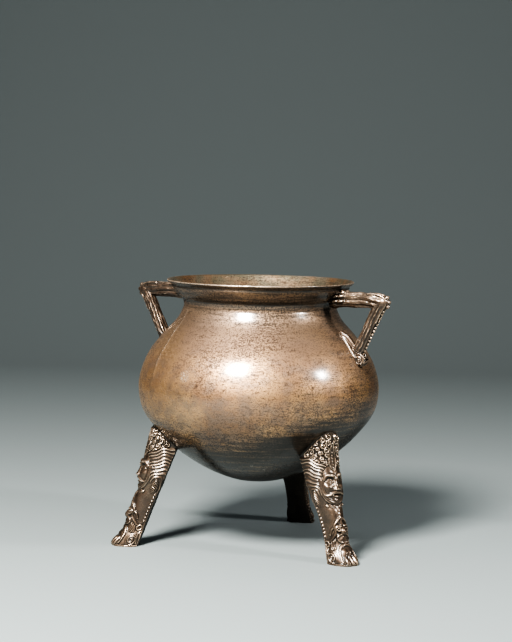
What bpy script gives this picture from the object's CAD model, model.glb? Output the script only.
# %% [markdown]
# # A bronze cauldron on three carved legs
#
# This lesson dresses a plain solid model of a small cast cooking pot. The real pot was turned
# smooth on its belly and left rich and busy on its legs and handles, so most of the time goes
# into two things: carving that is true geometry, and one old bronze finish that is worn bright
# where hands and cloths reach and dark where they do not.

# %% Load the frame
from math import atan2, cos, hypot, pi, radians, sin, sqrt

import bpy
import numpy as np
from mathutils import Matrix, Vector, noise


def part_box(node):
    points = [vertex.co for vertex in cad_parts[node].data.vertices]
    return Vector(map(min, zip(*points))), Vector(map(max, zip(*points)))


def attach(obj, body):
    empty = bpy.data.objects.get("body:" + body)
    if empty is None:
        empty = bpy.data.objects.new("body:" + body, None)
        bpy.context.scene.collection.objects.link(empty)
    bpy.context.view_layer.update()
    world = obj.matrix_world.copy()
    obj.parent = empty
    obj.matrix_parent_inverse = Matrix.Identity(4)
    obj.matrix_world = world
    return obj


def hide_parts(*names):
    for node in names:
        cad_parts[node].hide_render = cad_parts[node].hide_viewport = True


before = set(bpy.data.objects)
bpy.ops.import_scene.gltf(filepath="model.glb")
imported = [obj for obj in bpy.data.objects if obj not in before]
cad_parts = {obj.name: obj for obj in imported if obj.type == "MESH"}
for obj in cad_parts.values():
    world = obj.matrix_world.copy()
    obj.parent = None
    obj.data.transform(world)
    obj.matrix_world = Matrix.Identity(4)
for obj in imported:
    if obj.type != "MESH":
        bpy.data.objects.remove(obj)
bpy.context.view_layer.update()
low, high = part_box("cauldron")
print("solid box in mm:", [round(1000 * (b - a), 1) for a, b in zip(low, high)])

# %% [markdown]
# ## Camera and light
#
# The photograph looks a little down on the pot through a long lens. The camera is turned in
# code: a forward direction from pitch and yaw, then a small roll. The light is a studio's: a
# strong lamp high on the left, a weaker one on the right, a faint wide one high behind, and a
# dim sky. The first two stand where the two bright spots on the belly say they do. The floor
# runs up into the backdrop in one sweep, so that no edge shows behind the pot.

# %% Camera
MM = 0.001
AXIS_X, AXIS_Y = 7.9 * MM, -8.6 * MM
LENS_PIXELS, FRAME_TALL, SENSOR_WIDTH = 1974.8, 642, 36
PITCH, YAW, ROLL = radians(4.732), radians(-1.525), radians(1.023)
CAMERA_RIGHT, CAMERA_BACK, CAMERA_HEIGHT = 0.0452, 1.8339, 0.3604

forward = Vector((sin(YAW) * cos(PITCH), cos(YAW) * cos(PITCH), -sin(PITCH)))
right = forward.cross(Vector((0, 0, 1))).normalized()
up = right.cross(forward)
tilted_right = right * cos(ROLL) + up * sin(ROLL)
tilted_up = up * cos(ROLL) - right * sin(ROLL)
camera_data = bpy.data.cameras.new("camera")
camera_data.sensor_width = SENSOR_WIDTH
camera_data.lens = LENS_PIXELS / FRAME_TALL * SENSOR_WIDTH
camera = bpy.data.objects.new("camera", camera_data)
turn = Matrix((tilted_right, tilted_up, -forward)).transposed().to_4x4()
place = (AXIS_X + CAMERA_RIGHT, AXIS_Y - CAMERA_BACK, CAMERA_HEIGHT)
camera.matrix_world = Matrix.Translation(place) @ turn
bpy.context.scene.collection.objects.link(camera)
bpy.context.scene.camera = camera
print("lens in mm:", round(camera_data.lens, 1))

# %% Lamps, sky and floor
AIM_HEIGHT = 0.15


def lamp(name, azimuth, elevation, distance, size, power, tint):
    """A square lamp that faces the belly; azimuth 0 is the camera's side, + is to its right."""
    data = bpy.data.lights.new(name, "AREA")
    data.size = size
    data.energy = power
    data.color = tint
    thing = bpy.data.objects.new(name, data)
    side, lift = radians(azimuth), radians(elevation)
    away = Vector((sin(side) * cos(lift), -cos(side) * cos(lift), sin(lift))) * distance
    thing.location = Vector((AXIS_X, AXIS_Y, AIM_HEIGHT)) + away
    thing.rotation_euler = (-away).to_track_quat("-Z", "Y").to_euler()
    bpy.context.scene.collection.objects.link(thing)


lamp("key", azimuth=-23, elevation=41, distance=1.3, size=0.33, power=76, tint=(1, 0.96, 0.90))
lamp("second", azimuth=67.3, elevation=28, distance=1.3, size=0.14, power=13, tint=(1, 0.97, 0.94))
lamp("top", azimuth=-150, elevation=62, distance=2.2, size=1.2, power=6, tint=(0.95, 0.98, 1))

sky = bpy.data.worlds.new("studio")
sky.use_nodes = True
dim = sky.node_tree.nodes["Background"]
dim.inputs["Color"].default_value = (0.62, 0.68, 0.70, 1)
dim.inputs["Strength"].default_value = 0.11
bpy.context.scene.world = sky
bpy.context.scene.view_settings.look = "AgX - High Contrast"

FLOOR_FRONT, FLOOR_BACK, SWEEP, BACKDROP_TOP, BACKDROP_HALF = -3.2, 1.5, 1.3, 4.0, 4.0
FLOOR_ROWS, FLAT_ROWS, WALL_FROM_ROW = 48, 8, 40
bpy.ops.object.select_all(action="DESELECT")
bpy.ops.mesh.primitive_grid_add(x_subdivisions=1, y_subdivisions=FLOOR_ROWS, size=1)
floor = bpy.context.object
floor.name = "floor"
for vertex in floor.data.vertices:
    along = (vertex.co.y + 0.5) * FLOOR_ROWS
    bent_rows = WALL_FROM_ROW - FLAT_ROWS
    bend = radians(90) * min(max(along - FLAT_ROWS, 0), bent_rows) / bent_rows
    flat = FLOOR_FRONT + (FLOOR_BACK - FLOOR_FRONT) * min(along, FLAT_ROWS) / FLAT_ROWS
    rise = (BACKDROP_TOP - SWEEP) * max(along - WALL_FROM_ROW, 0) / (FLOOR_ROWS - WALL_FROM_ROW)
    vertex.co = (vertex.co.x * 2 * BACKDROP_HALF, flat + SWEEP * sin(bend),
                 SWEEP * (1 - cos(bend)) + rise)
bpy.ops.object.shade_smooth()
pale = bpy.data.materials.new("pale_floor")
pale.use_nodes = True
paint = pale.node_tree.nodes["Principled BSDF"]
paint.inputs["Base Color"].default_value = (0.17, 0.20, 0.206, 1)
paint.inputs["Roughness"].default_value = 0.85
floor.data.materials.append(pale)

# %% [markdown]
# ## Helpers
#
# Every piece is built at its true place, so its object can stay at the origin. These helpers
# start a piece from a primitive, read and write its points as arrays, and close it up.

# %% Helpers for pieces
def start(adder, **places):
    """Add one primitive with nothing else selected, and hand it back."""
    bpy.ops.object.select_all(action="DESELECT")
    adder(**places)
    return bpy.context.object


def pick(*things):
    """Select these and nothing else; the first one is the active one."""
    bpy.ops.object.select_all(action="DESELECT")
    for thing in things:
        thing.select_set(True)
    bpy.context.view_layer.objects.active = things[0]


def in_edit(thing, *steps):
    """Run edit-mode operators on everything in one piece."""
    pick(thing)
    bpy.ops.object.mode_set(mode="EDIT")
    bpy.ops.mesh.select_all(action="SELECT")
    for step in steps:
        step()
    bpy.ops.object.mode_set(mode="OBJECT")


def settle(thing):
    """Put the object's own place, turn and size into its mesh."""
    pick(thing)
    bpy.ops.object.transform_apply(location=True, rotation=True, scale=True)


def stand_at(thing, azimuth):
    """Turn a piece to its azimuth round the bowl's axis."""
    thing.location = (AXIS_X, AXIS_Y, 0)
    thing.rotation_euler.z = radians(azimuth)
    settle(thing)


# %% Helpers for points, paths and wear
def points_of(thing):
    flat = np.empty(3 * len(thing.data.vertices))
    thing.data.vertices.foreach_get("co", flat)
    return flat.reshape(-1, 3)


def move_points(thing, points):
    thing.data.vertices.foreach_set("co", np.asarray(points, float).ravel())
    thing.data.update()


def note(thing, **values):
    """Keep numbers for the finish to read: one for each point, or one that serves them all."""
    for name, value in values.items():
        layer = thing.data.attributes.new(name, "FLOAT", "POINT")
        layer.data.foreach_set("value", np.full(len(thing.data.vertices), value, float))


def smooth_line(knots, per_span):
    """A Catmull-Rom curve through the knots, with per_span steps between neighbours."""
    knots = np.asarray(knots, float)
    padded = np.vstack((2 * knots[0] - knots[1], knots, 2 * knots[-1] - knots[-2]))
    t = np.linspace(0, 1, per_span, endpoint=False)[:, None]
    line = []
    for a, b, c, d in zip(padded, padded[1:], padded[2:], padded[3:]):
        line.append(0.5 * (2 * b + (c - a) * t + (2 * a - 5 * b + 4 * c - d) * t ** 2
                           + (3 * b - a - 3 * c + d) * t ** 3))
    return np.vstack(line + [knots[-1:]])


def mark_wear(thing, rounds, reach, calm=0.0):
    """Tell hollows from high places: each point against a softened copy of the surface."""
    mesh = thing.data
    count = len(mesh.vertices)
    ends = np.empty(2 * len(mesh.edges), int)
    mesh.edges.foreach_get("vertices", ends)
    one, other = ends.reshape(-1, 2).T
    neighbours = np.bincount(one, minlength=count) + np.bincount(other, minlength=count)
    flat = np.empty(3 * count)
    mesh.vertices.foreach_get("normal", flat)
    outward = flat.reshape(-1, 3)
    here = points_of(thing)
    soft = here.copy()
    for _ in range(rounds):
        total = np.stack([np.bincount(one, soft[other, k], count)
                          + np.bincount(other, soft[one, k], count) for k in range(3)], axis=1)
        soft = 0.5 * soft + 0.5 * total / neighbours[:, None]
    depth = ((soft - here) * outward).sum(axis=1) / (reach * MM) * (1 - calm)
    note(thing, recess=np.clip(depth, 0, 1), worn=np.clip(-depth, 0, 1))
    clear = 0.3
    print(thing.name, "hollows", round(float((depth > clear).mean()), 2),
          "high places", round(float((depth < -clear).mean()), 2))


# %% [markdown]
# ## The bowl
#
# The belly was turned against a scraper, so it is a profile swept round an axis. The profile is
# drawn the way it would be by hand: one vertex, extruded from knot to knot up the outside, over
# the lip and down the inside, then spun. The wall is true: three millimetres, thinner at the lip.

# %% Profile of the bowl
LIP_RADIUS, LIP_HEIGHT = 87.0, 247.0
TIP_HEIGHT, WALL = 58.5, 3.0
NO_CLOSER = 0.6
BODY = [(71, 222), (76.5, 211), (88.5, 197.5), (101.8, 180.5), (109.5, 163), (112, 145),
        (107.2, 124.5), (91.7, 104), (74.5, 88), (50, 72.2), (24, 61.8), (0, TIP_HEIGHT)]
RIM = [(85.2, 246.9), (86.2, 247.0), (86.9, 246.6), (87.0, 246.0), (86.5, 245.3), (85.6, 244.5),
       (84.3, 243.5), (83.5, 242.9), (83.0, 242.5), (82.7, 241.9), (82.75, 241.3), (82.9, 240.9),
       (82.4, 240.2), (80.9, 238.3), (78.9, 235.6), (77.3, 233.6), (75.9, 232.0), (74.8, 231.1),
       (74.0, 230.6), (73.1, 230.0), (72.2, 229.0), (71.6, 227.6), (71.1, 225.4)]
INSIDE_RIM = [(68.0, 222), (68.2, 224.5), (69.0, 227.5), (70.4, 230), (73.0, 232.8), (76.6, 236.5),
              (80.6, 241.2), (83.6, 245.1), (84.5, 246.3), (84.9, 246.75)]


def bowl_profile():
    """Radius and height, from the lip down the outside to the tip and up the inside again."""
    outside = np.vstack((RIM, smooth_line(BODY, 7)))
    body = smooth_line(BODY, 5)
    run = np.gradient(body, axis=0)
    run /= np.hypot(*run.T)[:, None]
    hollow = body + WALL * np.stack((run[:, 1], -run[:, 0]), axis=1)
    hollow = hollow[hollow[:, 0] > NO_CLOSER][1:]
    inside = np.vstack(([(0, TIP_HEIGHT + WALL)], hollow[::-1], INSIDE_RIM))
    return outside, inside


def outer_radius(height):
    """Radius of the bowl's outer face at a height, both in mm."""
    return np.interp(-height, -outside[:, 1], outside[:, 0])


outside, inside = bowl_profile()
BODY_OUT = smooth_line(BODY, 12)[::-1]
print("profile points:", len(outside), "outside,", len(inside), "inside")

# %% Draw and spin it
BOWL_STEPS, WELD = 216, 0.00001


def draw_profile(name, profile):
    """One vertex at the first place, extruded from place to place."""
    thing = start(bpy.ops.mesh.primitive_plane_add, size=MM, location=(0, 0, 0))
    thing.name = name
    bpy.ops.object.mode_set(mode="EDIT")
    bpy.ops.mesh.select_all(action="SELECT")
    bpy.ops.mesh.merge(type="CENTER")
    places = [Vector((AXIS_X + r * MM, AXIS_Y, z * MM)) for r, z in profile]
    bpy.ops.transform.translate(value=places[0])
    for here, there in zip(places, places[1:]):
        bpy.ops.mesh.extrude_region_move(TRANSFORM_OT_translate={"value": there - here})
    bpy.ops.mesh.select_all(action="SELECT")
    return thing


bowl = draw_profile("bowl", np.vstack((outside, inside[:-1])))
bpy.ops.mesh.spin(steps=BOWL_STEPS, angle=2 * pi, center=(AXIS_X, AXIS_Y, 0), axis=(0, 0, 1))
bpy.ops.object.mode_set(mode="OBJECT")


def close_lip():
    """The last ring of the inside is joined to the first ring of the lip."""
    bpy.ops.mesh.remove_doubles(threshold=WELD)
    bpy.ops.mesh.delete_loose(use_verts=False, use_edges=True, use_faces=False)
    bpy.ops.mesh.select_all(action="DESELECT")
    bpy.ops.mesh.select_non_manifold(use_wire=False, use_multi_face=False,
                                     use_non_contiguous=False, use_verts=False)
    bpy.ops.mesh.bridge_edge_loops()
    bpy.ops.mesh.select_all(action="SELECT")
    bpy.ops.mesh.normals_make_consistent(inside=False)


in_edit(bowl, close_lip)
print("bowl faces:", len(bowl.data.polygons))

# %% [markdown]
# A cast and scraped wall is never quite true. The points are moved a tenth of a millimetre or
# two, and one column of them is drawn out into the fine seam that the two halves of the mould
# left down the left side. The columns twist a little on the shoulder, because the seam does.

# %% Unevenness and the mould seam
SEAM_AZIMUTH, SEAM_PROUD, SEAM_COLUMN = radians(204), 0.38, 0.7
SEAM_LOW, SEAM_FADES_IN, SEAM_HIGH, SEAM_FADES_OUT = 150.0, 25, 224.0, 4
SEAM_TWIST = ([170, 189, 201, 213], [radians(6.5), radians(5), radians(2), 0])
UNEVEN, UNEVEN_SCALE, LIP_CALM = 0.16, 22, 8
POLE, INSIDE_FROM = 4 * MM, 246.8


def weather_bowl():
    points = points_of(bowl)
    x, y, z = points[:, 0] - AXIS_X, points[:, 1] - AXIS_Y, points[:, 2] / MM
    radius = np.hypot(x, y)
    azimuth = np.arctan2(y, x) % (2 * pi)
    step = 2 * pi / BOWL_STEPS
    column = np.rint((azimuth - SEAM_AZIMUTH) / step).astype(int)
    near = (abs(column) <= 1) & (radius > POLE)
    beside = SEAM_AZIMUTH + column * SEAM_COLUMN * MM / np.maximum(radius, MM)
    azimuth = np.where(near, beside, azimuth) + np.interp(z, *SEAM_TWIST)
    wobble = np.array([noise.fractal(Vector(p) * UNEVEN_SCALE, 0.8, 2.0, 3) for p in points])
    deep = np.clip((LIP_HEIGHT - z) / LIP_CALM, 0, 1)
    radius = radius + UNEVEN * MM * wobble * deep * (radius > POLE)
    inner = np.interp(z, inside[:, 1], inside[:, 0])
    is_inside = (radius / MM < 0.5 * (inner + outer_radius(z))) | (z > INSIDE_FROM)
    rise = np.clip((z - SEAM_LOW) / SEAM_FADES_IN, 0, 1)
    rise = rise * np.clip((SEAM_HIGH - z) / SEAM_FADES_OUT, 0, 1)
    radius = radius + SEAM_PROUD * MM * rise * (column == 0) * ~is_inside
    points[:, 0] = AXIS_X + radius * np.cos(azimuth)
    points[:, 1] = AXIS_Y + radius * np.sin(azimuth)
    move_points(bowl, points)
    return z, radius / MM, azimuth, is_inside, column, rise


z, radius, azimuth, is_inside, column, rise = weather_bowl()
print("inside points:", int(is_inside.sum()), "of", len(z))

# %% [markdown]
# The finish has to know where the pot is dirty, grey or rubbed, so each point keeps a number
# for each. Fire left soot under the belly, and its line isn't level: it stands higher on the
# right and dips on the left. Soot lies in the neck and under the rim as well.

# %% What the bowl's finish needs to know
GRIME = ([58, 84, 92, 100, 106, 112, 120, 135, 160, 200, 210, 217, 222, 226, 228.5, 230.5, 233,
          235, 236.5, 240.4, 241.3, 242.2, 244, 246.2, 247],
         [1.0, 1.0, 0.98, 0.90, 0.76, 0.60, 0.48, 0.36, 0.30, 0.38, 0.46, 0.56, 0.66, 0.80, 0.96,
          0.92, 0.72, 0.94, 0.70, 0.70, 1.0, 0.90, 0.84, 0.76, 0.36])
LINING = ([60, 200, 236, 247], [0.82, 0.74, 0.62, 0.50])
GREY = ([140, 170, 190, 212, 226, 232, 247], [0.0, 0.15, 0.45, 0.75, 0.75, 0.55, 0.55])
SOOTY_SIDE, SOOTY_MORE, SOOTY_TOP, SOOTY_FADE = radians(352), 0.22, 224, 16
SOOT_DIPS_AT, SOOT_DIP, SOOT_SWING, DIP_STEEP = radians(240), -6.0, 22.0, 1.9
SWING_TOP, SWING_FADE = 170, 40
LIP_EDGE, LIP_WORN, SEAM_WORN = 246.2, 0.75, 0.6
RUN_INSIDE, RUN_LEAN = 300, 0.6

sooty = np.clip(np.cos(azimuth - SOOTY_SIDE), 0, 1) ** 1.5 * np.clip((SOOTY_TOP - z) / SOOTY_FADE, 0, 1)
swing = SOOT_DIP + SOOT_SWING * np.clip(DIP_STEEP * (1 - np.cos(azimuth - SOOT_DIPS_AT)), 0, 1)
soot_z = z - swing * np.clip((SWING_TOP - z) / SWING_FADE, 0, 1)
grime = np.where(is_inside, np.interp(z, *LINING), np.interp(soot_z, *GRIME) + SOOTY_MORE * sooty)
lip = np.clip(1 - np.hypot(radius - LIP_RADIUS, z - LIP_EDGE), 0, 1)
seam = (column == 0) * rise * ~is_inside
note(bowl, grime=np.clip(grime, 0, 1), inside=is_inside, recess=0,
     worn=np.maximum(LIP_WORN * lip, SEAM_WORN * seam), grey=np.interp(z, *GREY) * ~is_inside,
     run=np.where(is_inside, radius + RUN_INSIDE, radius * RUN_LEAN + z))
bowl.data.polygons.foreach_set("use_smooth", [True] * len(bowl.data.polygons))
print("mean grime outside:", round(float(grime[~is_inside].mean()), 2))

# %% [markdown]
# ## Carving, as heights over a plain leg
#
# A founder carved these legs in wax. Each leg is a half-round post with a flat back, and the
# carving is a height over it. Heights are easy to write as small functions of two lengths: how
# far round the leg a place is from the middle of its front, and how far it is above the floor.
# The taller of two shapes wins wherever they cross, as it does when wax is laid on wax.

# %% Basic marks of the carver
def dome(reach, high):
    """A round top that falls to nothing where reach is one."""
    return high * np.sqrt(np.clip(1 - reach ** 2, 0, 1))


def swell(side, up, place, wide, tall, high):
    """A soft swelling, or a soft hollow where high is negative."""
    return high * np.exp(-(((side - place[0]) / wide) ** 2 + ((up - place[1]) / tall) ** 2))


def eased(value, low, high):
    share = np.clip((value - low) / (high - low), 0, 1)
    return share * share * (3 - 2 * share)


def window(value, begin, full, fading, gone):
    """One from full to fading, nothing before begin or after gone."""
    return eased(value, begin, full) * (1 - eased(value, fading, gone))


def button(side, up, place, reach, high):
    """A round boss; reach is its radius, or one radius across and one up."""
    wide, tall = reach if isinstance(reach, tuple) else (reach, reach)
    return dome(np.hypot((side - place[0]) / wide, (up - place[1]) / tall), high)


def tallest(*shapes):
    return np.maximum.reduce(shapes)


def bend(*knots):
    """A curved path through a few places."""
    return smooth_line(knots, 6)


def nearest(side, up, begin, end):
    """How far away a straight stretch is, and the share of it where its nearest place lies."""
    run = (end[0] - begin[0], end[1] - begin[1])
    long = run[0] ** 2 + run[1] ** 2 + 1e-9
    along = np.clip(((side - begin[0]) * run[0] + (up - begin[1]) * run[1]) / long, 0, 1)
    return np.hypot(side - begin[0] - along * run[0], up - begin[1] - along * run[1]), along


def cord(side, up, path, wide, high, thin=1.0):
    """A rounded cord along a path; its far end is thin times as wide."""
    best = np.zeros(side.shape)
    for index, (begin, end) in enumerate(zip(path, path[1:])):
        away, along = nearest(side, up, begin, end)
        here = wide * (1 + (thin - 1) * (index + along) / (len(path) - 1))
        best = np.maximum(best, dome(away / here, high))
    return best


def curled(place, radius, turns, begin, way=1, steps=22):
    """The path of a scroll that winds in towards its eye."""
    t = np.linspace(0, 1, steps)
    angle = begin + way * 2 * pi * turns * t
    reach = radius * (1 - 0.8 * t)
    return np.stack((place[0] + reach * np.cos(angle), place[1] + reach * np.sin(angle)), axis=1)


print("a dome of height 1 at half reach:", round(float(dome(np.array(0.5), 1)), 3))

# %% [markdown]
# The mask at the top of each leg is a bearded man's head of a stock kind. It is laid out from
# the drawing-book rule, not from anyone: equal thirds from chin to nose, nose to brow and brow
# to hair, eyes one eye apart, a calm mouth. It is symmetrical, so only one side is written.

# %% The mask
CHIN, THIRD = 53.0, 11.6
NOSE, BROW = CHIN + THIRD, CHIN + 2 * THIRD
HEAD_MIDDLE, HEAD_HALF, HEAD_TALL, HEAD_STANDS = 70.5, 11.8, 18.5, 2.2
# each line of the face: its path, half width, height, and how wide its far end is
FACE_LINES = {
    "brow": ([(0.6, BROW - 0.2), (3.4, BROW + 2.0), (7.4, BROW + 1.9), (10.4, BROW - 1.6)], 1.6, 1.5, 1),
    "upper lid": ([(2.8, BROW - 3.8), (5.2, BROW - 1.7), (8.3, BROW - 3.5)], 0.65, 0.75, 1),
    "lower lid": ([(2.8, BROW - 3.9), (5.4, BROW - 5.2), (8.3, BROW - 3.7)], 0.55, 0.45, 1),
    "whiskers": ([(0.5, NOSE - 1.2), (3.2, NOSE - 1.5), (6.4, NOSE - 3.4), (9.4, NOSE - 4.2),
                  (11.2, NOSE - 3.0)], 1.7, 1.9, 0.5)}
# each swelling or hollow: its middle, reach across, reach up, and height
FACE_SWELLS = {
    "over the brow": ((4.6, BROW + 2.4), 3.2, 1.8, 0.8),
    "eye hollow": ((5.4, BROW - 3.0), 3.4, 2.5, -1.9),
    "eyeball": ((5.5, BROW - 3.5), 2.1, 1.35, 1.7),
    "tip of the nose": ((0, NOSE + 1.8), 1.9, 1.7, 1.0),
    "nostril": ((2.5, NOSE + 1.1), 1.15, 1.2, 1.2),
    "cheek": ((7.4, NOSE + 3.2), 3.3, 3.0, 1.5),
    "mouth": ((0, NOSE - 3.6), 3.0, 0.55, -1.2),
    "lower lip": ((0, NOSE - 5.0), 2.7, 0.95, 1.1),
    "under the lip": ((0, NOSE - 6.9), 3.2, 0.8, -0.5),
    "chin": ((0, CHIN + 2.8), 3.0, 2.2, 1.1)}


def face(side, up):
    oval = 1 - (side / HEAD_HALF) ** 2 - ((up - HEAD_MIDDLE) / HEAD_TALL) ** 2
    high = HEAD_STANDS * np.clip(oval, 0, 1) ** 0.75
    for path, *sizes in FACE_LINES.values():
        high += cord(side, up, bend(*path), *sizes)
    for swelling in FACE_SWELLS.values():
        high += swell(side, up, *swelling)
    share = np.clip((BROW + 0.6 - up) / (THIRD - 1.2), 0, 1)
    nose = dome(side / (1.7 + 1.1 * share), 1) * (0.8 + 1.9 * share)
    return high + nose * window(up, NOSE - 0.4, NOSE + 1.6, BROW, BROW + 3)


def beard(side, up):
    """A combed band round the face, from the temple under the chin."""
    line = bend((12.6, 74), (12.4, 66), (10.2, 59.5), (6, 55.2), (0, 53.4))
    away = np.minimum.reduce([nearest(side, up, *ends)[0] for ends in zip(line, line[1:])])
    return dome(away / 2.5, 1.5) + 0.2 * np.cos(2 * pi * away / 1.7) * (away < 2.3)


print("brow at", BROW, "mm, nose at", NOSE, "mm above the floor")

# %% [markdown]
# Above and behind the face the hair sweeps back in long ridges, all struck from one centre
# behind the jaw, where a twisted lock hangs. Over it stands a crest of curled leaves.

# %% Hair, crest and the lock over the brow
HAIR_PITCH, HAIR_REACH = 3.2, 32.0
LOCK_HEIGHT, LOCK_FROM_EDGE, LOCK_DROP = 60.5, 6.0, 3.9
CREST_ROWS = ((107.5, 5), (102.0, 4), (96.6, 3), (91.6, 2), (113.0, 5), (118.0, 5))
CREST_START, CREST_STEP, CREST_SLOPE = 3.6, 4.9, 0.62
LOCK_SEEDS, SEED_LOW, SEED_PITCH, LOCK_STANDS = 6, 84.5, 2.7, 1.2


def hair(side, up, edge):
    middle = side + edge - LOCK_FROM_EDGE
    over = up > LOCK_HEIGHT
    reach = np.where(over, np.hypot(side - middle, up - LOCK_HEIGHT), abs(side - middle))
    reach = reach + 0.8 * np.sin(0.42 * side + 0.16 * up)
    ridge = (0.5 - 0.5 * np.cos(2 * pi * (reach - 0.3) / HAIR_PITCH)) ** 0.85
    locks = 0.85 + 0.25 * np.cos(2 * pi * reach / (3 * HAIR_PITCH))
    keep = eased(reach, 3.6, 4.6) * (1 - eased(reach, HAIR_REACH, HAIR_REACH + 1))
    oval = np.hypot(side / (HEAD_HALF + 0.6), (up - HEAD_MIDDLE) / (HEAD_TALL - 0.5))
    keep = keep * eased(oval, 0.97, 1.06)
    keep = keep * np.where(side > middle, eased(up, 49.0, 54.0), eased(up, 58.0, 61.5))
    high = keep * (0.35 + 1.15 * ridge * locks)
    along = up - LOCK_HEIGHT + LOCK_DROP
    across = side - middle + 0.12 * along
    wide = 3.5 * np.clip(1 - 0.05 * along, 0.6, 1.3)
    body = np.sqrt(np.clip(1 - (across / wide) ** 2 - (along / 7.6) ** 2, 0, 1))
    twist = np.cos(2 * pi * (along + 0.9 * abs(across)) / 2.3)
    return np.maximum(high, 1.2 * body + 0.42 * twist * body), reach


def crest(side, up, reach):
    curls = []
    for row, (height, count) in enumerate(CREST_ROWS):
        for index in range(count):
            across = CREST_START + CREST_STEP * index + 2.2 * (row % 2) + 1.0 * (row > 1)
            at = (across, height - CREST_SLOPE * (across - 3))
            way = 1 if (index + row) % 2 else -1
            size = 2.6 + 0.6 * sin(2.3 * index + 1.7 * row)
            scroll = curled(at, size, 1.15, 0.6 + 1.7 * index + row, way)
            curls.append(cord(side, up, scroll, 0.85, 0.9 + 0.35 * size))
            curls.append(button(side, up, at, size + 0.4, 0.8))
    return np.where(reach > HAIR_REACH + 0.6, tallest(*curls), 0) * (up > BROW)


def brow_lock(side, up):
    """A leaf over the brow, with a raised rim and a row of seeds."""
    rim = bend((0.9, 106), (1.8, 100), (3.5, 93), (3.3, 87), (1.2, 82))
    leaf = (side / 3.2) ** 2 + ((up - 91.5) / 10.5) ** 2 < 1
    seeds = tallest(*(button(side, up, (0, SEED_LOW + SEED_PITCH * seed), 0.95, 0.9)
                      for seed in range(LOCK_SEEDS)))
    return tallest(cord(side, up, rim, 0.95, 1.9), (LOCK_STANDS + seeds) * leaf)


print("ridges of hair:", int(HAIR_REACH / HAIR_PITCH))

# %% [markdown]
# Below the mask the leg is plain, with a stem down its front and a row of pearls beside each
# back edge. At the ankle a leaf bends over, and the foot is a paw under an arch, with scrolls.

# %% Shaft, ankle leaf and paw
PEARL_PITCH, PEARL_LOW, PEARLS, PEARL_INSET = 3.05, 23.5, 9, 2.4
PAW_TOP = 22


def shaft(side, up, edge):
    beads = [button(side, up, (across, 51.6 - 0.06 * across), (1.6, 1.92), 0.95)
             for across in (0.0, 3.1, 6.2)]
    stem = [cord(side, up, [(0, 50), (0, 46.5)], 1.2, 1.3),
            cord(side, up, [(0, 44.5), (0, 35)], 1.3, 1.5),
            cord(side, up, [(1.9, 40.6), (1.6, 39.6)], 1.2, 1.2)]
    pearl = np.clip(np.round((up - PEARL_LOW) / PEARL_PITCH), 0, PEARLS - 1)
    pearls = button(edge, up, (PEARL_INSET, PEARL_LOW + PEARL_PITCH * pearl), (1.0, 1.2), 0.95)
    rail = 0.3 * (1 - eased(abs(edge - PEARL_INSET), 1.1, 1.6)) * window(up, 21, 22, 50, 51)
    return tallest(button(side, up, (9.4, 51.2), 1.5, 1.9), *beads, *stem, pearls + rail,
                   dome((edge - 0.6) / 0.7, 0.6))


def ankle_leaf(side, up):
    lobe = bend((0.6, 41.5), (4.2, 38.4), (7.2, 33.8), (6.6, 28.6), (9.4, 24.2), (13.2, 20.4))
    outer = bend((7.4, 32.6), (10.4, 30.2), (12.4, 26.0))
    eye = (3.6, 31.6)
    reach = np.hypot(side / 7.2, (up - 23.2) / 4.6)
    veins = 0.45 * np.cos(7 * np.arctan2(side, up - 27.5)) * np.clip(1 - reach ** 2, 0, 1)
    oval = dome(reach, 1.5) + 0.8 * np.exp(-((reach - 0.86) / 0.13) ** 2) + veins
    leaflets = [bend((8.4 + 1.9 * k, 21.6 - 1.2 * k), (10.2 + 1.7 * k, 18.0 - 1.4 * k),
                     (10.0 + 1.8 * k, 14.6 - 0.6 * k)) for k in range(3)]
    return tallest(cord(side, up, lobe, 1.0, 1.6, thin=1.35),
                   cord(side, up, outer, 0.8, 1.3, thin=1.5),
                   cord(side, up, curled(eye, 2.9, 1.2, 2.2, -1), 1.0, 2.3),
                   button(side, up, eye, 3.4, 1.3), button(side, up, (0, 29.4), (2.8, 4.0), 4.0),
                   oval, *(cord(side, up, leaflet, 0.75, 1.2, thin=1.35) for leaflet in leaflets))


def paw(side, up, edge):
    arch = np.hypot(side / 8.6, (up - 5.0) / 13.0)
    foot = dome(arch, 1.0) + swell(side, up, (2.2, 12.0), 3.0, 2.6, 1.7)
    for toe in (0.0, 4.4):
        foot += button(side, up, (toe, 4.4), (2.1, 4.6), 2.1)
    foot += swell(side, up, (2.2, 5.0), 0.5, 4.0, -0.8)
    eye = (0, 6.6)
    scroll = curled(eye, 4.7, 1.5, -pi / 2, 1, 34)
    tendril = bend((2.2, 14.0), (3.4, 11.0), (2.4, 3.0))
    ring = np.hypot(edge - 4.2, up - 17.6)
    return tallest(foot, dome((arch - 1) / 0.115, 1.9) * (up > 3.2),
                   cord(8.0 - edge, up, scroll, 1.0, 1.6), button(8.0 - edge, up, eye, 5.6, 0.7),
                   dome((ring - 2.2) / 0.9, 1.5), cord(edge, up, tendril, 0.8, 1.1),
                   1.3 * (1 - eased(up, 1.3, 1.9)))


def carving(across, up, edge):
    """All the carving together: the taller of two shapes wins."""
    side = abs(across)
    locks, reach = hair(side, up, edge)
    high = tallest(locks, crest(side, up, reach), beard(side, up), face(side, up),
                   brow_lock(side, up), shaft(side, up, edge), ankle_leaf(side, up),
                   paw(side, up, edge) * (up < PAW_TOP))
    return high * np.clip(edge / 0.5, 0, 1)


trial = carving(np.array([[0.0]]), np.array([[NOSE + 2]]), np.array([[25.0]]))
print("height of the nose over the leg in mm:", round(float(trial[0, 0]), 2))

# %% [markdown]
# ## The legs
#
# A leg starts as a flat grid. Its columns are wrapped round the half-round section and over the
# low back, and its rows run up from the floor to where each column meets the belly, so the top
# of the leg lies just inside the wall and never shows in the bowl. The right leg's crest stands
# out further than the others, which lets it lap a little higher on the belly.

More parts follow.
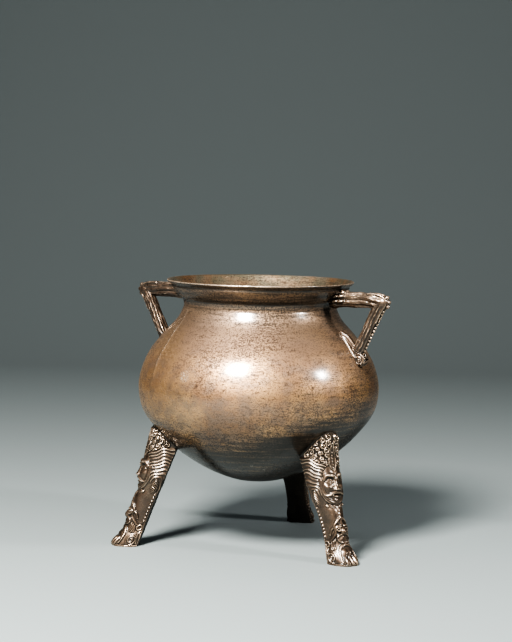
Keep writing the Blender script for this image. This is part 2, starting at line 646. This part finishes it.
# %% Wrap a grid into a carved leg
LEGS = {"left": (192.0, 0.0), "right": (311.5, 5.2), "back": (69.5, 0.0)}
CREST_STANDS = (92.0, 116.0)
LEG_BACK_AT_FLOOR, LEG_BACK_SLOPE, LEG_BACK_BULGE = 114.4, 0.388, 3.6
LEG_SQUARENESS = 2.5
LEG_FRONT = [(0, 134.5), (3, 133.6), (8, 129.6), (14, 125.2), (20, 122.4), (29, 120.0),
             (36, 117.8), (46, 114.6), (49.5, 112.7), (52, 110.9), (56, 110.4), (66, 108.6),
             (80, 105.6), (108, 99.0), (124, 94.6)]
LEG_HALF_WIDTH = [(0, 12.0), (8, 11.8), (20, 9.6), (38, 9.8), (50, 11.8), (64, 14.8),
                  (80, 15.4), (94, 16.3), (124, 16.2)]
FRONT_COLUMNS, BACK_COLUMNS, LEG_ROWS = 152, 24, 264
LEVEL_STEP, TOP_LEVEL = 0.5, 126
IN_WALL, RELIEF_FADES = 0.45, (0.8, 3.0)
FILLET, FILLET_REACH = 0.75, 1.1
BACK_ROUGHNESS, ROUGH_SCALE = 0.35, 0.16
DIRT, EDGE_DIRT, SIDE_DIRT, TOP_DIRT, BACK_DIRT = 0.24, 0.30, 0.30, 0.60, 0.95


def between(value, stations):
    line = smooth_line(stations, 8)
    return np.interp(value, line[:, 0], line[:, 1])


def plain_section(height, crest_stand):
    """Radius and width at equal steps round the front and then over the back, and the walk."""
    turn = np.linspace(-pi / 2, pi / 2, 721)
    power = 2 / LEG_SQUARENESS
    back = LEG_BACK_AT_FLOOR - LEG_BACK_SLOPE * height
    front = between(height, LEG_FRONT) + crest_stand * eased(height, *CREST_STANDS)
    half = between(height, LEG_HALF_WIDTH)
    radius = back + (front - back) * abs(np.cos(turn)) ** power
    width = half * np.sign(turn) * abs(np.sin(turn)) ** power
    walk = np.concatenate(([0], np.cumsum(np.hypot(np.diff(radius), np.diff(width)))))
    place = np.linspace(0, walk[-1], FRONT_COLUMNS + 1)
    side = np.linspace(1, -1, BACK_COLUMNS + 2)[1:-1]
    radius = np.concatenate((np.interp(place, walk, radius), back - LEG_BACK_BULGE * (1 - side ** 2)))
    return radius, np.concatenate((np.interp(place, walk, width), half * side)), walk[-1]


def leg_surface(crest_stand):
    """Points round a carved leg, row by row, in its own frame, and how dirty each one is."""
    levels = np.arange(0, TOP_LEVEL + 0.1, LEVEL_STEP)
    radius, width, walk = (np.array(part) for part in
                           zip(*(plain_section(level, crest_stand) for level in levels)))
    belly = np.interp(levels, BODY_OUT[:, 1], BODY_OUT[:, 0], left=0) - IN_WALL
    gap = np.hypot(radius, width) - belly[:, None]
    columns = range(gap.shape[1])
    first = np.argmin(gap > 0, axis=0)
    share = gap[first - 1, columns] / (gap[first - 1, columns] - gap[first, columns])
    tops = levels[first - 1] + LEVEL_STEP * share
    up = np.linspace(0, 1, LEG_ROWS + 1)[:, None] * tops[None, :]
    x, y = (np.stack([np.interp(up[:, c], levels, part[:, c]) for c in columns], axis=1)
            for part in (radius, width))
    run_x, run_y = (np.roll(part, -1, axis=1) - np.roll(part, 1, axis=1) for part in (x, y))
    step = np.hypot(run_x, run_y)
    below = tops[None, :] - up
    front = slice(0, FRONT_COLUMNS + 1)
    long = np.interp(up[:, front], levels, walk)
    across = (np.linspace(0, 1, FRONT_COLUMNS + 1)[None, :] - 0.5) * long
    edge = long / 2 - abs(across)
    high = np.zeros(x.shape)
    high[:, front] = carving(across, up[:, front], edge) * eased(below[:, front], *RELIEF_FADES)
    high += FILLET * np.exp(-below / FILLET_REACH)
    back = slice(FRONT_COLUMNS + 1, None)
    rough = [noise.fractal(Vector((a, b, c)) * ROUGH_SCALE, 0.9, 2.0, 3)
             for a, b, c in zip(x[:, back].flat, y[:, back].flat, up[:, back].flat)]
    high[:, back] += BACK_ROUGHNESS * np.reshape(rough, x[:, back].shape) * eased(up[:, back], 0.2, 3)
    dirt = np.full(x.shape, BACK_DIRT)
    dirt[:, front] = (DIRT + EDGE_DIRT * np.exp(-edge / 1.2) + SIDE_DIRT * np.exp(-edge / 6.0)
                      + TOP_DIRT * np.exp(-below[:, front] / 3.0))
    return x + high * run_y / step, y - high * run_x / step, up, dirt


print("points round a leg:", FRONT_COLUMNS + 1 + BACK_COLUMNS)


# %% Close each leg, mark its wear and turn it to its place
def close_leg():
    """Weld the seam, then close the foot and the top."""
    bpy.ops.mesh.remove_doubles(threshold=WELD)
    bpy.ops.mesh.select_all(action="DESELECT")
    bpy.ops.mesh.select_non_manifold()
    bpy.ops.mesh.edge_face_add()
    bpy.ops.mesh.select_all(action="SELECT")
    bpy.ops.mesh.normals_make_consistent(inside=False)


def wrap_leg(name, crest_stand):
    x, y, z, dirt = leg_surface(crest_stand)
    round_count = x.shape[1]
    leg = start(bpy.ops.mesh.primitive_grid_add, x_subdivisions=round_count,
                y_subdivisions=LEG_ROWS, size=1)
    leg.name = name
    order = points_of(leg)
    column = np.rint((order[:, 0] + 0.5) * round_count).astype(int) % round_count
    row = np.rint((order[:, 1] + 0.5) * LEG_ROWS).astype(int)
    move_points(leg, np.stack((x[row, column], y[row, column], z[row, column]), axis=1) * MM)
    note(leg, grime=np.clip(dirt[row, column], 0, 1))
    in_edit(leg, close_leg)
    pick(leg)
    bpy.ops.object.shade_smooth_by_angle(angle=radians(50))
    return leg


legs = []
for name, (azimuth, crest_stand) in LEGS.items():
    leg = wrap_leg(f"leg_{name}", crest_stand)
    mark_wear(leg, rounds=10, reach=0.34)
    stand_at(leg, azimuth)
    legs.append(leg)
print("faces of a leg:", len(legs[0].data.polygons))

# %% [markdown]
# ## The handles
#
# Each handle is a bar out from the neck and a strut down to the shoulder, cast to look like
# barked twigs, with beads down the outer edge, knobs at the corner, leaves at the rim, a scroll
# at the foot and a wedge-shaped tongue on the shoulder. The parts are laid through one another
# and then fused by a voxel remesh, which gives the soft fillets that wax joints leave.

# %% Parts of a handle, in its own plane
HANDLE_AZIMUTHS = {"right": -27.8, "left": 152.2}
TWIG_SIDES, TWIG_STEPS = 112, 90
BAR = [(73.5, 232.6, 9.4, 13.4), (80, 233.0, 10.0, 14.2), (88, 233.4, 9.2, 13.4),
       (100, 233.6, 9.0, 13.2), (112, 233.4, 9.0, 13.0), (121, 232.6, 8.8, 12.2),
       (126.5, 231.6, 8.4, 11.0), (129.6, 231.0, 6.4, 8.0)]
STRUT = [(98.2, 177.5, 9.6, 9.6), (102.6, 186.3, 9.7, 9.6), (109.2, 200.0, 9.6, 9.6),
         (116.4, 214.8, 9.4, 9.6), (122.4, 227.0, 9.2, 9.8), (125.2, 232.6, 8.8, 9.4)]
RIBS, RIB_DEPTH, BARK, SQUARENESS = 9, 1.0, 0.7, 2.6


def twig(name, stations, seed):
    """A barked rod: a grid rolled round a path of (radius, height, width, thickness)."""
    rod = start(bpy.ops.mesh.primitive_grid_add, x_subdivisions=TWIG_SIDES,
                y_subdivisions=TWIG_STEPS, size=1)
    rod.name = name
    flat = points_of(rod)
    angle = (flat[:, 0] + 0.5) * 2 * pi
    share = flat[:, 1] + 0.5
    path = smooth_line(stations, 12)
    run = np.concatenate(([0], np.cumsum(np.hypot(*np.diff(path[:, :2], axis=0).T))))
    place = share * run[-1]
    middle = [np.interp(place, run, path[:, k]) for k in range(4)]
    slope = np.gradient(path[:, :2], run, axis=0)
    lean = [np.interp(place, run, slope[:, k]) for k in range(2)]
    length = np.hypot(*lean)
    lean = [part / length for part in lean]
    flatten = (abs(np.cos(angle)) ** SQUARENESS + abs(np.sin(angle)) ** SQUARENESS) ** (-1 / SQUARENESS)
    wander = 0.45 * np.sin(place / 13.0 + seed) + 0.25 * np.sin(place / 6.1 + 2 * seed)
    rib = RIB_DEPTH * (abs(np.cos(0.5 * RIBS * angle + wander)) ** 0.8 - 0.6)
    on_bark = [Vector((2.6 * cos(a), 2.6 * sin(a), b / 12 + 7 * seed)) for a, b in zip(angle, place)]
    rib += BARK * np.array([noise.fractal(spot, 0.8, 2.0, 3) for spot in on_bark])
    across = (flatten * middle[2] / 2 + rib) * np.cos(angle)
    over = (flatten * middle[3] / 2 + rib) * np.sin(angle)
    x = middle[0] - over * lean[1]
    z = middle[1] + over * lean[0]
    move_points(rod, np.stack((x, across, z), axis=1) * MM)
    in_edit(rod, close_leg)
    return rod


def blob(name, place, size, lean=0.0, slew=0.0, sides=20):
    """A rounded swelling: its middle as (radius, sideways, height), its size the same way."""
    thing = start(bpy.ops.mesh.primitive_uv_sphere_add, segments=sides, ring_count=sides // 2,
                  radius=0.5 * MM, location=[p * MM for p in place],
                  rotation=(0, radians(lean), radians(slew)))
    thing.name = name
    thing.scale = size
    settle(thing)
    return thing


def curl_wire(name, path, thick, thin):
    """A tapering wire along (radius, sideways, height) places, for scrolls."""
    curve = bpy.data.curves.new(name, "CURVE")
    curve.dimensions = "3D"
    curve.bevel_depth = MM
    curve.bevel_resolution = 3
    curve.use_fill_caps = True
    spline = curve.splines.new("POLY")
    spline.points.add(len(path) - 1)
    for index, (point, place) in enumerate(zip(spline.points, path)):
        point.co = (*(p * MM for p in place), 1)
        point.radius = thick + (thin - thick) * index / (len(path) - 1)
    wire = bpy.data.objects.new(name, curve)
    bpy.context.scene.collection.objects.link(wire)
    pick(wire)
    bpy.ops.object.convert(target="MESH")
    return bpy.context.object


print("ribs round a twig:", RIBS)

# %% Places along the strut, at its foot and on the shoulder
STRUT_FOOT, STRUT_TOP = np.array(STRUT[0][:2]), np.array(STRUT[-1][:2])
STRUT_RUN = (STRUT_TOP - STRUT_FOOT) / hypot(*(STRUT_TOP - STRUT_FOOT))
OUTWARD = np.array([STRUT_RUN[1], -STRUT_RUN[0]])
BEADS, BEAD_SIZE, BEAD_STAND, FIRST_BEAD, BEAD_SPAN = 14, 2.6, 5.5, 0.17, 0.72
KNOBS = (((130.8, -0.4, 236.6), 4.4), ((132.2, 0.4, 232.6), 4.2), ((131.4, -0.3, 228.6), 4.0))
ELBOW = [(112, 239.4), (119, 239.5), (125.5, 238.3), (129.8, 235.2), (130.4, 230.6),
         (127.0, 225.2), (124.1, 219.9), (121.0, 213.4)]
LEAF_ROWS = ((81.5, 5.6, 7), (86.5, 5.2, 6))
LEAF_HEIGHT, LEAF_SPREAD = 233.4, 105
SCROLL_MIDDLE, SCROLL_REACH, SCROLL_BEGINS, SCROLL_TURN = (105.8, 179.4), 5.2, 2.2, 10.5
TONGUE_LOW, TONGUE_HIGH, TONGUE_HALF, TONGUE_RIDGE = 182.0, 203.5, 5.4, 6.4
TONGUE_LEAN, TONGUE_STATIONS = -42, 16


def on_shoulder(height, stand, sideways):
    """A place in the handle's frame, stand above the belly at a height."""
    radius = np.interp(height, BODY_OUT[:, 1], BODY_OUT[:, 0])
    slope = np.interp(height + 1, BODY_OUT[:, 1], BODY_OUT[:, 0]) - radius
    tilt = hypot(1, slope)
    radius = radius + stand / tilt
    return (sqrt(radius ** 2 - sideways ** 2), sideways, height - stand * slope / tilt)


print("strut leans", round(atan2(STRUT_RUN[0], STRUT_RUN[1]) * 180 / pi, 1), "degrees")


# %% Put one handle together
def corner_and_beads():
    """The round corner, its knobs, two ribs that turn it and the beads down the strut."""
    parts = [blob("corner", (126.2, 0, 232.0), (12.6, 10.0, 12.6))]
    for index in range(BEADS):
        share = FIRST_BEAD + BEAD_SPAN * index / (BEADS - 1)
        at = STRUT_FOOT + share * (STRUT_TOP - STRUT_FOOT) + OUTWARD * BEAD_STAND
        size = (BEAD_SIZE, BEAD_SIZE * 1.1, BEAD_SIZE)
        parts.append(blob("bead", (at[0], 0, at[1]), size, sides=14))
    for place, size in KNOBS:
        parts.append(blob("knob", place, (size, size, size), sides=16))
    for sideways in (-3.1, 3.1):
        path = [(radius, sideways, height) for radius, height in smooth_line(ELBOW, 4)]
        parts.append(curl_wire("elbow", path, 1.15, 0.8))
    return parts


def rim_leaves():
    """Overlapping leaves where the bar springs from the rim."""
    parts = [blob("root", (78.5, 0, 230.6), (12.0, 11.0, 13.0), lean=20)]
    for row, (radius, reach, count) in enumerate(LEAF_ROWS):
        for turn in range(count):
            angle = radians(-LEAF_SPREAD + 2 * LEAF_SPREAD * turn / (count - 1))
            place = (radius, reach * sin(angle), LEAF_HEIGHT + 1.25 * reach * cos(angle))
            parts.append(blob("leaf", place, (7.6, 4.6, 3.4 - 0.4 * row), lean=-12,
                              slew=-10 * sin(angle), sides=16))
    parts.append(blob("top_leaf", (85.6, 0, 241.0), (6.6, 6.2, 3.6), lean=8, sides=16))
    parts.append(blob("top_leaf", (90.4, 0.6, 240.4), (4.6, 4.2, 3.0), sides=16))
    return parts


def foot_scroll():
    """A knob with a scroll wound on each side and ridges between them."""
    middle, height = SCROLL_MIDDLE
    parts = [blob("foot", (middle - 0.6, 0, height - 0.6), (11.4, 10.2, 12.4), lean=-25)]

    def round_foot(reach, angle, sideways):
        return middle + reach * cos(angle), sideways, height + reach * sin(angle)

    for sideways in (-4.7, 4.7):
        path = [round_foot(SCROLL_REACH * (1 - 0.72 * t), SCROLL_BEGINS - SCROLL_TURN * t,
                           sideways * (0.86 + 0.2 * t)) for t in np.linspace(0, 1, 36)]
        parts.append(curl_wire("scroll", path, 1.15, 0.95))
        parts.append(blob("eye", (middle, sideways * 0.98, height), (2.6, 2.6, 2.6), sides=14))
    for angle in (-95, -55, -15, 25):
        path = [round_foot(SCROLL_REACH + 0.5 - 0.6 * side ** 2, radians(angle + 14 * side), 4.6 * side)
                for side in np.linspace(-1, 1, 12)]
        parts.append(curl_wire("ridge", path, 1.0, 1.0))
    return parts


def shoulder_tongue():
    """A wedge that runs down the shoulder into the strut, and fills the corner between them."""
    parts = []
    for rise in np.linspace(TONGUE_LOW, TONGUE_HIGH - 1, TONGUE_STATIONS):
        share = (TONGUE_HIGH - rise) / (TONGUE_HIGH - TONGUE_LOW)
        wide = 2 * TONGUE_HALF * share ** 0.75 + 1.2
        ridge = min(TONGUE_RIDGE, 0.85 * (TONGUE_HIGH - rise))
        parts.append(blob("web", on_shoulder(rise, 0, 0), (5.6, wide, 1.9 * ridge + 1.6),
                          lean=TONGUE_LEAN, sides=18))
        parts.append(blob("ridge", on_shoulder(rise, 0.5 * ridge, 0), (5.6, 4.4, ridge + 1.2),
                          lean=TONGUE_LEAN, sides=14))
    return parts


def handle_parts(seed):
    return [twig("bar", BAR, seed), twig("strut", STRUT, seed + 2), *corner_and_beads(),
            *rim_leaves(), *foot_scroll(), *shoulder_tongue()]


print("beads:", BEADS, "and knobs:", len(KNOBS))

# %% Fuse the handles and turn them to their places
VOXEL, UNDER_SKIN = 0.36, 1.3
FIRST_SEED, SEED_STEP = 1.3, 2.1


def fuse(name, parts):
    """Join the parts, then remesh them into one skin and soften it a little."""
    pick(*parts)
    bpy.ops.object.join()
    whole = bpy.context.object
    whole.name = name
    skin = whole.modifiers.new("skin", "REMESH")
    skin.mode = "VOXEL"
    skin.voxel_size = VOXEL * MM
    skin.use_smooth_shade = True
    bpy.ops.object.modifier_apply(modifier="skin")
    soft = whole.modifiers.new("soft", "SMOOTH")
    soft.factor = 0.5
    soft.iterations = 2
    bpy.ops.object.modifier_apply(modifier="soft")
    return whole


def cut_inside(handle):
    """Nothing of the handle may show in the bowl: pull what is deeper back into the wall."""
    points = points_of(handle)
    radius = np.hypot(points[:, 0], points[:, 1]) / MM
    least = outer_radius(points[:, 2] / MM) - UNDER_SKIN
    push = np.where((radius < least) & (radius > 1), least / radius, 1)
    points[:, :2] *= push[:, None]
    move_points(handle, points)


def on_tongue(handle):
    """1 on the tongue and 0 off it: it is rubbed smooth all over and has no bright edges."""
    x, y, z = points_of(handle).T / MM
    stand = np.hypot(x, y) - outer_radius(z)
    there = window(z, TONGUE_LOW, TONGUE_LOW + 4, TONGUE_HIGH + 2, TONGUE_HIGH + 5)
    return 0.85 * there * (1 - eased(stand, TONGUE_RIDGE + 1, TONGUE_RIDGE + 3))


handles = []
for index, (side, azimuth) in enumerate(HANDLE_AZIMUTHS.items()):
    handle = fuse(f"handle_{side}", handle_parts(FIRST_SEED + SEED_STEP * index))
    cut_inside(handle)
    calm = on_tongue(handle)
    stand_at(handle, azimuth)
    mark_wear(handle, rounds=10, reach=0.16, calm=calm)
    handles.append(handle)
    print(handle.name, "faces:", len(handle.data.polygons))

# %% [markdown]
# ## Old bronze
#
# Two effects are shared. One group clouds and speckles the colour the way an old patina does,
# with the specks dragged round the pot by the scraper. The other group turns pits and scraper
# lines into a height, for a Bump node. Both read Object coordinates, so nothing slides.

# %% Shared groups
def new_group(name, inputs, outputs):
    group = bpy.data.node_groups.new(name, "ShaderNodeTree")
    for label, value in inputs:
        socket = group.interface.new_socket(name=label, in_out="INPUT", socket_type="NodeSocketFloat")
        socket.default_value = value
    for label, kind in outputs:
        group.interface.new_socket(name=label, in_out="OUTPUT", socket_type=kind)
    return group, group.nodes.new("NodeGroupInput"), group.nodes.new("NodeGroupOutput")


class Wiring:
    """Short words for adding and joining nodes in one tree."""

    def __init__(self, tree):
        self.tree = tree

    def feed(self, node, values):
        """Give a node its inputs, by name or number: a socket is joined, all else is set."""
        for key, value in values.items():
            if isinstance(value, bpy.types.NodeSocket):
                self.tree.links.new(value, node.inputs[key])
            else:
                node.inputs[key].default_value = value
        return node

    def add(self, kind, values=None, **settings):
        node = self.tree.nodes.new(kind)
        for key, value in settings.items():
            setattr(node, key, value)
        return self.feed(node, values or {})

    def math(self, operation, first, *others, clamp=False):
        """One operation over two values or more, from left to right."""
        for other in others:
            first = self.add("ShaderNodeMath", {0: first, 1: other}, operation=operation,
                             use_clamp=clamp).outputs[0]
        return first

    def times(self, *values):
        return self.math("MULTIPLY", *values)

    def plus(self, *values):
        return self.math("ADD", *values)

    def most(self, *values):
        return self.math("MAXIMUM", *values)

    def around(self, value, gain, middle=0.5):
        """How far a value is from its middle, times a gain."""
        return self.times(self.math("SUBTRACT", value, middle), gain)

    def ramp(self, value, low, high, out_low=0.0, out_high=1.0):
        ends = {"From Min": low, "From Max": high, "To Min": out_low, "To Max": out_high}
        node = self.add("ShaderNodeMapRange", {"Value": value, **ends},
                        interpolation_type="SMOOTHSTEP")
        return node.outputs["Result"]

    def stretched(self, vector, sizes, move=(0, 0, 0)):
        values = {"Vector": vector, "Scale": sizes, "Location": move}
        return self.add("ShaderNodeMapping", values).outputs["Vector"]

    def noise(self, vector, scale, detail, rough):
        """Noise of one scale, or of one scale for each axis and moved: (sizes, move)."""
        if isinstance(scale, tuple):
            vector, scale = self.stretched(vector, *scale), 1
        values = {"Vector": vector, "Scale": scale, "Detail": detail, "Roughness": rough}
        return self.add("ShaderNodeTexNoise", values).outputs["Fac"]

    def mix(self, factor, one, other):
        one, other = ((*value, 1) if isinstance(value, tuple) else value for value in (one, other))
        return self.add("ShaderNodeMix", {0: factor, 6: one, 7: other}, data_type="RGBA").outputs[2]

    def attribute(self, name):
        return self.add("ShaderNodeAttribute", attribute_name=name).outputs["Fac"]


print("wiring words:", [word for word in vars(Wiring) if not word.startswith("_")])


# %% The patina group
def patina_group():
    """Masks over the surface: broad clouds, patches, specks, dashes and streaks round, grain."""
    group, inputs, outputs = new_group(
        "patina", [("Dragged", 1.0)],
        [(label, "NodeSocketFloat")
         for label in ("Clouds", "Patches", "Specks", "Dashes", "Streaks", "Grain")])
    w = Wiring(group)
    place = w.add("ShaderNodeTexCoord").outputs["Object"]
    dragged = inputs.outputs["Dragged"]
    thick = w.around(w.noise(place, ((26, 26, 40), (5, 1, 1)), 2, 0.5), 0.20)
    fine = w.noise(place, ((780, 780, 860),), 3, 0.75)
    short = w.noise(place, ((230, 230, 860), (3, 1, 0)), 3, 0.62)
    w.feed(outputs, {
        "Clouds": w.ramp(w.noise(place, 19, 5, 0.62), 0.36, 0.64),
        "Patches": w.ramp(w.noise(place, ((70, 70, 95), (2, 4, 1)), 4, 0.65), 0.40, 0.62),
        "Specks": w.ramp(w.plus(fine, thick), 0.47, 0.62),
        "Dashes": w.times(w.ramp(w.plus(short, thick), 0.50, 0.66), dragged),
        "Streaks": w.around(w.noise(place, ((24, 24, 460), (1, 5, 0)), 4, 0.66), dragged),
        "Grain": w.noise(place, 1300, 3, 0.7)})
    return group


PATINA = patina_group()
print("patina puts out:", [socket.name for socket in PATINA.interface.items_tree][:6])

# %% The tooling group
LINE_SPREAD = 14
LINE_HEIGHT, ROUGH_HEIGHT, GRAIN_HEIGHT, PIT_DEPTH = 0.00006, 0.00013, 0.00004, -0.00025


def tooling_group():
    """A height in metres: a cast grain, pits, and scraper lines where Lines is one."""
    group, inputs, outputs = new_group("tooling", [("Run", 0.0), ("Lines", 1.0), ("Pits", 1.0)],
                                       [("Height", "NodeSocketFloat"), ("Holes", "NodeSocketFloat")])
    w = Wiring(group)
    place = w.add("ShaderNodeTexCoord").outputs["Object"]
    parts = w.add("ShaderNodeSeparateXYZ", {0: place})
    along = w.add("ShaderNodeCombineXYZ", {0: w.times(parts.outputs[0], LINE_SPREAD),
                                           1: w.times(parts.outputs[1], LINE_SPREAD),
                                           2: inputs.outputs["Run"]})
    lines = w.around(w.noise(along.outputs[0], 0.9, 4, 0.7), inputs.outputs["Lines"])
    cells = w.add("ShaderNodeTexVoronoi", {"Vector": w.stretched(place, (360, 360, 520)), "Scale": 1},
                  feature="F1")
    sparse = w.noise(place, ((60, 60, 80), (2, 2, 2)), 2, 0.5)
    holes = w.times(w.ramp(cells.outputs["Distance"], 0.28, 0.10), w.ramp(sparse, 0.52, 0.66),
                    inputs.outputs["Pits"])
    height = w.plus(w.times(lines, LINE_HEIGHT), w.around(w.noise(place, 240, 4, 0.6), ROUGH_HEIGHT),
                    w.around(w.noise(place, 900, 2, 0.6), GRAIN_HEIGHT), w.times(holes, PIT_DEPTH))
    w.feed(outputs, {"Height": height, "Holes": holes})
    return group


TOOLING = tooling_group()
print("groups:", [group.name for group in (PATINA, TOOLING)])

# %% [markdown]
# One function makes both finishes, from the same few layers. A brown skin lies over the metal,
# lighter where it is thin and darker where it is thick, with slate in patches and up on the
# shoulder. Specks, dashes and pits are darker, the hollows and the underside hold soot, and
# high places are rubbed back to pale bright metal. A thin waxed coat over it all gives the two
# hard white highlights. The masks drive roughness and how metallic the skin is as well, since
# soot is dull and bare metal isn't.

# %% Bronze of the bowl, and bronze of the carving
BOWL_SKIN = {"thin": (0.56, 0.342, 0.168), "thick": (0.27, 0.158, 0.087),
             "slate": (0.210, 0.160, 0.125)}
CARVED_SKIN = {"thin": (0.205, 0.148, 0.104), "thick": (0.080, 0.056, 0.041),
               "slate": (0.045, 0.037, 0.031)}
RUST, VERDIGRIS, CHALK = (0.150, 0.088, 0.046), (0.074, 0.078, 0.046), (0.36, 0.33, 0.26)
DEEP, SOOT = (0.050, 0.031, 0.021), (0.022, 0.018, 0.014)
PITS = ((241.6, 157.5, 2.2), (297, 158.4, 1.8))
SCRATCHES = ((234, 165.0, 7.0), (267, 82.5, 2.2), (277, 78.4, 2.0))


def marks(w, places):
    """A mask of round spots on the belly, from azimuth, height and reach in degrees and mm."""
    coordinates = w.add("ShaderNodeTexCoord").outputs["Object"]
    mask = 0.0
    for azimuth, height, reach in places:
        out, turn = outer_radius(height) * MM, radians(azimuth)
        spot = (AXIS_X + out * cos(turn), AXIS_Y + out * sin(turn), height * MM)
        away = w.add("ShaderNodeVectorMath", {0: coordinates, 1: spot}, operation="DISTANCE")
        mask = w.most(w.ramp(away.outputs["Value"], reach * MM, 0.4 * reach * MM), mask)
    return mask


def bronze(name, skin, bright, rough, coat, lines, pits, dragged, rubbed):
    material = bpy.data.materials.new(name)
    material.use_nodes = True
    w = Wiring(material.node_tree)
    patina = w.add("ShaderNodeGroup", node_tree=PATINA)
    w.feed(patina, {"Dragged": dragged})
    tooling = w.add("ShaderNodeGroup", node_tree=TOOLING)
    w.feed(tooling, {"Run": w.attribute("run"), "Lines": lines, "Pits": pits})
    clouds, patches, specks, dashes, streaks, grain = patina.outputs
    grime, worn, recess, inner, grey = (w.attribute(label) for label in
                                        ("grime", "worn", "recess", "inside", "grey"))

    base = w.mix(clouds, skin["thick"], skin["thin"])
    base = w.mix(w.most(w.times(patches, 0.55), grey), base, skin["slate"])
    lining = w.mix(w.times(clouds, 0.42), w.mix(patches, RUST, VERDIGRIS), CHALK)
    base = w.mix(w.times(inner, 0.85), base, lining)
    dirty = w.math("ADD", w.times(specks, 0.80), w.times(dashes, 0.65), clamp=True)
    dirty = w.most(dirty, tooling.outputs["Holes"])
    if lines:
        dirty = w.most(dirty, marks(w, PITS))
    base = w.mix(dirty, base, DEEP)

    dark = w.ramp(w.plus(grime, w.around(grain, 0.45), w.times(streaks, 1.28),
                         w.around(specks, 0.26, 0.4)), 0.34, 0.94)
    hollow = w.ramp(recess, 0.02, 0.55)
    base = w.mix(hollow, w.mix(dark, base, SOOT), SOOT)

    bare = w.ramp(w.math("SUBTRACT", worn, w.times(patches, 0.12)), *rubbed)
    bare = w.times(bare, w.math("SUBTRACT", 1.0, dark))
    if lines:
        bare = w.most(bare, w.times(marks(w, SCRATCHES), w.ramp(grain, 0.52, 0.64)))
    base = w.mix(bare, base, bright)

    shine = w.plus(w.ramp(clouds, 0.0, 1.0, rough, rough - 0.10), w.times(w.most(dirty, hollow), 0.20),
                   w.times(dark, 0.12), w.around(grain, 0.18))
    shine = w.math("SUBTRACT", shine, w.times(bare, 0.14), clamp=True)
    metal = w.math("SUBTRACT", 1.0, w.times(w.most(dark, hollow, dirty), 0.6))
    bump = w.add("ShaderNodeBump", {"Distance": 1.0, "Strength": 1.0,
                                    "Height": tooling.outputs["Height"]})
    w.feed(material.node_tree.nodes["Principled BSDF"], {
        "Base Color": base, "Roughness": shine, "Metallic": metal, "Normal": bump.outputs["Normal"],
        "Coat Weight": coat, "Coat Roughness": 0.19, "Coat IOR": 1.8,
        "Specular IOR Level": 0.3, "Specular Tint": (0.55, 0.48, 0.42, 1)})
    return material


print("marks on the belly:", len(PITS) + len(SCRATCHES))

# %% Give each piece its finish
turned_bronze = bronze("turned_bronze", BOWL_SKIN, bright=(0.74, 0.63, 0.52), rough=0.56, coat=0.6,
                       lines=1.0, pits=1.0, dragged=1.0, rubbed=(0.10, 0.85))
carved_bronze = bronze("carved_bronze", CARVED_SKIN, bright=(0.66, 0.51, 0.385), rough=0.43, coat=0.36,
                       lines=0.0, pits=0.5, dragged=0.0, rubbed=(0.35, 1.15))
HANDLE_GRIME = 0.42
for piece in [*legs, *handles]:
    note(piece, inside=0, run=0, grey=0)
    piece.data.materials.clear()
    piece.data.materials.append(carved_bronze)
for piece in handles:
    note(piece, grime=HANDLE_GRIME)
bowl.data.materials.append(turned_bronze)
print("finishes:", turned_bronze.name, carved_bronze.name)

# %% [markdown]
# ## Hand over
#
# The pot is one casting, so every piece rides on the one body and stands for the one solid.

for piece in [bowl, *legs, *handles]:
    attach(piece, "root")
    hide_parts("cauldron")
    print(piece.name, "triangles:", sum(len(face.vertices) - 2 for face in piece.data.polygons))
